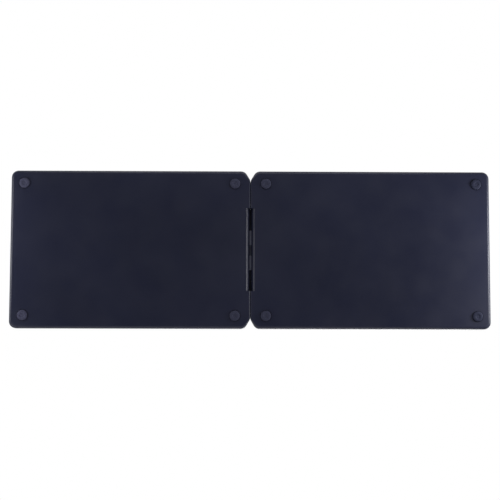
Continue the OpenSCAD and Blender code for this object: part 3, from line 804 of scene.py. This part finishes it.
@dataclass
class KeyField:
    """Keycaps with their printed legends, and the rubber domes under them.

    Attributes:
        wardrobe: Hands out the finishes.
        letter_size: The height of a line of letters.
        sign_size: The height of a line of signs.
        word_size: The height of a line of words.
        arrow_size: The size that an arrow's outline is a share of.
        ink: How far the print stands out of the cap, and goes into it.
        ink_spread: How much bolder the print is, as a share of its size.
        curve_steps: How many steps a curve of the print has.
        inset: From a cap's edge to its print.
        travel: How far a key goes down. Not used.
        dome_room: What is left between a pressed cap and its flattened dome. Not used.
        weld: Corners of a dome that are closer than this are one.
        shapes: The print gathered for each body.
        homes: Each key's body and the middle of its cap.
    """

    wardrobe: Wardrobe
    letter_size: float = 4.6 * MM
    sign_size: float = 3.7 * MM
    word_size: float = 3.1 * MM
    arrow_size: float = 2.2 * MM
    ink: float = 0.02 * MM
    ink_spread: float = 0.008
    curve_steps: int = 3
    inset: float = 2.5 * MM
    travel: float = 1.3 * MM
    dome_room: float = 0.02 * MM
    weld: float = 0.002 * MM
    shapes: dict[str, bmesh.types.BMesh] = field(default_factory=dict)
    homes: list[tuple[str, float, float]] = field(default_factory=list)

    def __post_init__(self) -> None:
        """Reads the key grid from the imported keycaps."""
        tab, letter_q = ROWS_LEFT[1][:2]
        letter_y = ROWS_RIGHT[1][0]
        self.pitch: float = self.centre("key_u").x - self.centre("key_y").x
        self.row_pitch: float = self.centre("key_y").y - self.centre("key_h").y
        self.first_left: float = self.centre("key_q").x - (tab.cells + letter_q.cells / 2) * self.pitch
        self.first_right: float = self.centre("key_y").x - letter_y.cells / 2 * self.pitch
        self.top_row: float = self.centre("key_q").y + self.row_pitch
        low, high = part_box("key_q")
        self.cap_depth: float = high.y - low.y
        self.cap_space: float = self.pitch - (high.x - low.x)
        self.cap_top: float = high.z

    @staticmethod
    def centre(node: str) -> Vector:
        """The middle of a CAD node's box."""
        low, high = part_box(node)
        return (low + high) / 2

    def build(self) -> None:
        """Dresses the caps, prints every key and splits the domes by key."""
        caps = {key.body for row in (*ROWS_LEFT, *ROWS_RIGHT) for key in row}
        self.wardrobe.dress(CAP_PLASTIC, *sorted(caps))
        for rows, first in ((ROWS_LEFT, self.first_left), (ROWS_RIGHT, self.first_right)):
            for number, row in enumerate(rows):
                self.print_row(row, first, self.top_row - number * self.row_pitch)
        for side in Side:
            self.split_domes(side)
        ink = self.wardrobe.get(LEGEND_INK)
        for body, shape in sorted(self.shapes.items()):
            add_piece(f"legend_{body}", shape, body, ink, smooth=False)

    def split_domes(self, side: Side) -> None:
        """Makes each key body's rubber domes a piece of its own, which rides on the half.

        Args:
            side: The half whose domes are split.
        """
        node = side.node("domes")
        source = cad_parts[node].data
        homes = [home for home in self.homes if (home[1] > 0.0) is (side is Side.RIGHT)]
        parts: dict[str, bmesh.types.BMesh] = {}
        for face in source.polygons:
            middle = face.center
            body = min(homes, key=lambda home: math.hypot(home[1] - middle.x, home[2] - middle.y))[0]
            shape = parts.setdefault(body, bmesh.new())
            shape.faces.new([shape.verts.new(source.vertices[i].co) for i in face.vertices])
        rubber = self.wardrobe.get(DOME_RUBBER)
        for body, shape in sorted(parts.items()):
            bmesh.ops.remove_doubles(shape, verts=shape.verts, dist=self.weld)
            piece = add_piece(f"dome_{body}", shape, side.body, rubber)
            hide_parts(node)
            joint = OTHER_JOINTS.get(body, f"{body}_press")
            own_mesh(piece)

    def print_row(self, row: Sequence[Key], x: float, y: float) -> None:
        """Prints the keys of one row.

        Args:
            row: The keys from left to right.
            x: The left end of the row's first cell.
            y: The middle of the row.
        """
        for key in row:
            width = key.cells * self.pitch - self.cap_space
            middle = x + key.cells * self.pitch / 2
            x += key.cells * self.pitch
            self.homes.append((key.body, middle, y))
            left = middle - width / 2 + self.inset
            top = y + self.cap_depth / 2 - self.inset
            bottom = y - self.cap_depth / 2 + self.inset
            if key.kind is LabelKind.LETTER:
                self.print_text(key.body, key.text, self.letter_size, left, top, "TOP")
            elif key.kind is LabelKind.WORD:
                self.print_text(key.body, key.text, self.word_size, left, bottom, "BOTTOM_BASELINE")
            elif key.kind is LabelKind.PAIR:
                self.print_text(key.body, key.upper, self.sign_size, left, top, "TOP")
                self.print_text(key.body, key.text, self.sign_size, left, bottom, "BOTTOM_BASELINE")
            elif key.kind is LabelKind.ARROW:
                self.print_arrow(key, middle, y)

    def shape_of(self, body: str) -> bmesh.types.BMesh:
        """The mesh that gathers one body's print."""
        return self.shapes.setdefault(body, bmesh.new())

    def print_text(self, body: str, text: str, size: float, x: float, y: float,
                   align: str) -> None:
        """Prints a word or sign on a cap.

        Args:
            body: The key's body.
            text: What is printed.
            size: The height of a line.
            x: Its left edge.
            y: Its top or its baseline.
            align: Which of the two, as Blender names it.
        """
        curve = bpy.data.curves.new("print", "FONT")
        curve.body, curve.size, curve.resolution_u = text, size, self.curve_steps
        curve.extrude, curve.offset = self.ink, size * self.ink_spread
        curve.align_y = align
        holder = bpy.data.objects.new("print", curve)
        bpy.context.scene.collection.objects.link(holder)
        bpy.context.view_layer.update()
        solid = holder.evaluated_get(bpy.context.evaluated_depsgraph_get())
        mesh = bpy.data.meshes.new_from_object(solid)
        mesh.transform(Matrix.Translation((x, y, self.cap_top)))
        self.shape_of(body).from_mesh(mesh)
        bpy.data.objects.remove(holder)
        bpy.data.curves.remove(curve)
        bpy.data.meshes.remove(mesh)

    def print_prism(self, body: str, outline: Iterable[Vector]) -> None:
        """Prints a filled outline on a cap.

        Args:
            body: The key's body.
            outline: Its corners, anticlockwise from above.
        """
        shape = self.shape_of(body)
        points = list(outline)
        lower = [shape.verts.new((p.x, p.y, self.cap_top - self.ink)) for p in points]
        upper = [shape.verts.new((p.x, p.y, self.cap_top + self.ink)) for p in points]
        shape.faces.new(upper)
        shape.faces.new(lower[::-1])
        for i in range(len(points)):
            j = (i + 1) % len(points)
            shape.faces.new((lower[i], lower[j], upper[j], upper[i]))

    def print_arrow(self, key: Key, x: float, y: float) -> None:
        """Prints an arrow in the middle of a cap.

        Args:
            key: The key, whose text is the way it points.
            x: The middle of the cap.
            y: The middle of the cap.
        """
        outline = BACK_ARROW if key.text == "back" else PLAIN_ARROW
        turn = Matrix.Rotation(math.radians(ARROW_TURNS.get(key.text, 0.0)), 3, "Z")
        middle = Vector((x, y, 0.0))
        corners = [Vector((along, across, 0.0)) * self.arrow_size for along, across in outline]
        self.print_prism(key.body, [middle + turn @ corner for corner in corners])


@dataclass
class PhotoCamera:
    """The camera of the photograph, under the keyboard and looking up at it."""

    place: Place = (6.4 * MM, -69.95 * MM, -750.0 * MM)
    aim: Place = (0.25 * MM, -0.43 * MM, 0.0)
    roll_degrees: float = -174.763
    lens: float = 89.652
    sensor: float = 36.0
    nearest: float = 0.01
    farthest: float = 100.0

    def build(self) -> None:
        """Makes the camera the scene's own."""
        data = bpy.data.cameras.new("photo_camera")
        data.lens, data.sensor_width = self.lens, self.sensor
        data.clip_start, data.clip_end = self.nearest, self.farthest
        camera = bpy.data.objects.new("photo_camera", data)
        towards = Vector(self.aim) - Vector(self.place)
        look = towards.to_track_quat("-Z", "Y").to_matrix()
        roll = Matrix.Rotation(math.radians(self.roll_degrees), 3, "Z")
        camera.matrix_world = Matrix.Translation(self.place) @ (look @ roll).to_4x4()
        bpy.context.scene.collection.objects.link(camera)
        bpy.context.scene.camera = camera
        LOG.info("camera at %s", self.place)


@dataclass(frozen=True)
class SoftBox:
    """One area lamp, aimed at a point of the keyboard. Lengths in metres, power in watts."""

    name: str
    place: Place
    aim: Place
    size: Size
    power: float

    def build(self) -> None:
        """Adds the lamp, which no camera sees."""
        data = bpy.data.lights.new(self.name, "AREA")
        data.shape, data.size, data.size_y = "RECTANGLE", *self.size
        data.energy = self.power
        lamp = bpy.data.objects.new(self.name, data)
        lamp.location = self.place
        towards = Vector(self.aim) - Vector(self.place)
        lamp.rotation_euler = towards.to_track_quat("-Z", "Y").to_euler()
        lamp.visible_camera = False
        bpy.context.scene.collection.objects.link(lamp)
        LOG.info("lamp %s", self.name)


# Two boxes light the key side and the floor from above
BOXES_ABOVE = (
    SoftBox("box_above", (-0.5, -0.7, 1.3), aim=(0.0, 0.0, 0.0), size=(1.2, 0.9), power=11.0),
    SoftBox("box_behind", (0.6, 0.9, 0.9), aim=(0.0, 0.0, 0.0), size=(0.9, 0.6), power=5.0),
)

# Small strips rake across the covers from below, which gives the photograph's slow gradients
STRIPS_BELOW = (
    SoftBox("strip_left", (-0.235, 0.0, -0.048), aim=(-0.05, 0.0, 0.0),
            size=(0.08, 0.03), power=0.34),
    SoftBox("strip_left_end", (-0.21, -0.03, -0.13), aim=(-0.139, -0.02, 0.0),
            size=(0.08, 0.03), power=0.042),
    SoftBox("strip_right", (0.235, 0.0, -0.045), aim=(0.05, 0.0, 0.0),
            size=(0.08, 0.03), power=0.07),
    SoftBox("strip_right_end", (0.18, 0.01, -0.025), aim=(0.139, 0.0, 0.0),
            size=(0.08, 0.02), power=0.03),
    SoftBox("corner_right_front", (0.17, -0.08, -0.04), aim=(0.135, -0.04, 0.0),
            size=(0.04, 0.02), power=0.015),
    SoftBox("slot_light", (-0.001, 0.009, -0.1), aim=(0.0, 0.0, 0.0),
            size=(0.008, 0.05), power=0.0017),
    SoftBox("strip_back", (0.0, 0.12, -0.06), aim=(0.0, 0.02, 0.0),
            size=(0.26, 0.04), power=0.1),
    SoftBox("strip_front", (0.0, -0.12, -0.06), aim=(0.0, -0.02, 0.0),
            size=(0.26, 0.04), power=0.05),
)


@dataclass
class Studio:
    """The pale floor, the white surroundings and the soft lamps.

    Attributes:
        floor_radius: Where the floor ends.
        floor_fade: Where it starts to fade out.
        floor_drop: How far it lies below the feet.
        floor_sides: How many sides its rim has.
        floor_colour: The paper's colour.
        floor_shade: The share of that colour that its darker spots have.
        floor_mottling: The darker spots.
        floor_tooth: The paper's tooth.
        floor_roughness: The roughness of the tooth.
        ambient: The strength of the plain fill.
        nadir: How bright the surroundings look to a reflection straight below.
        straight_down: The height of that point in the surroundings.
        dim_below: The height under which they start to go darker.
        lamps: The lamps.
    """

    floor_radius: float = 1.6
    floor_fade: float = 0.7
    floor_drop: float = 0.02 * MM
    floor_sides: int = 96
    floor_colour: Colour = (0.9, 0.9, 0.905)
    floor_shade: float = 0.97
    floor_mottling: Layer = Layer(6.0, 4.0)
    floor_tooth: Layer = Layer(40.0)
    floor_roughness: Range = (0.8, 0.9)
    ambient: float = 0.6
    nadir: float = 0.045
    straight_down: float = -1.0
    dim_below: float = -0.15
    lamps: tuple[SoftBox, ...] = BOXES_ABOVE + STRIPS_BELOW

    def build(self) -> None:
        """Makes the floor, the world and the lamps, and sets plain colours."""
        bpy.context.scene.view_settings.view_transform = "Standard"
        self.build_floor()
        self.build_world()
        for lamp in self.lamps:
            lamp.build()

    def build_floor(self) -> None:
        """Lays a floor that only shows from above, so that the camera below sees past it."""
        shape = bmesh.new()
        bmesh.ops.create_circle(shape, cap_ends=True, segments=self.floor_sides,
                                radius=self.floor_radius)
        bmesh.ops.translate(shape, verts=shape.verts, vec=(0.0, 0.0, -self.floor_drop))
        data = bpy.data.meshes.new("floor")
        shape.to_mesh(data)
        shape.free()
        floor = bpy.data.objects.new("floor", data)
        bpy.context.scene.collection.objects.link(floor)
        data.materials.append(self.floor_material())
        floor.visible_shadow = False
        floor.visible_diffuse = False
        floor.visible_glossy = False

    def floor_material(self) -> bpy.types.Material:
        """Pale paper with faint mottling, clear from below and fading out at a distance.

        Returns:
            The floor's material.
        """
        graph = NodeGraph("floor_paper")
        low = tuple(self.floor_shade * c for c in self.floor_colour)
        colour = graph.blend(graph.noise(self.floor_mottling), low, self.floor_colour)
        graph.paint(colour, graph.vary(self.floor_tooth, self.floor_roughness))
        graph.set(Specular_IOR_Level=0.0)
        reach = graph.new("ShaderNodeVectorMath", operation="LENGTH")
        graph.link(graph.coordinates, reach.inputs[0])
        far = graph.spread(reach.outputs["Value"], (self.floor_fade, self.floor_radius), FULL)
        underside = graph.new("ShaderNodeNewGeometry").outputs["Backfacing"]
        clear = graph.new("ShaderNodeBsdfTransparent").outputs[0]
        gone = graph.larger(far, underside)
        graph.link(graph.mix_shaders(gone, graph.shader.outputs[0], clear), graph.surface)
        return graph.material

    def build_world(self) -> None:
        """Makes white surroundings, which reflections see darker straight below, and a fill."""
        world = bpy.data.worlds.new("studio")
        world.use_nodes = True
        graph = Wiring(world.node_tree)
        path = graph.new("ShaderNodeLightPath")
        camera_ray = path.outputs["Is Camera Ray"]
        seen = camera_ray
        for name in ("Is Glossy Ray", "Is Transmission Ray"):
            seen = graph.larger(seen, path.outputs[name])
        split = graph.new("ShaderNodeSeparateXYZ")
        graph.link(graph.new("ShaderNodeTexCoord").outputs["Generated"], split.inputs[0])
        heights = (self.straight_down, self.dim_below)
        level = graph.spread(split.outputs["Z"], heights, (self.nadir, 1.0))
        white, fill = (graph.new("ShaderNodeBackground") for _ in range(2))
        for background in (white, fill):
            background.inputs["Color"].default_value = (1.0, 1.0, 1.0, 1.0)
        graph.link(graph.larger(camera_ray, level), white.inputs["Strength"])
        fill.inputs["Strength"].default_value = self.ambient
        either = graph.mix_shaders(seen, fill.outputs[0], white.outputs[0])
        graph.link(either, graph.new("ShaderNodeOutputWorld").inputs["Surface"])
        bpy.context.scene.world = world


def main() -> None:
    """Builds the whole scene in order."""
    logging.basicConfig(level=logging.INFO, format="%(message)s")
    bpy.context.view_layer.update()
    wardrobe = Wardrobe()
    for side in Side:
        CaseHalf(side, wardrobe).build()
    BarrelHinge(wardrobe).build()
    InnerWorks(wardrobe).build()
    KeyField(wardrobe).build()
    Studio().build()
    PhotoCamera().build()


if __name__ == "__main__":
    main()
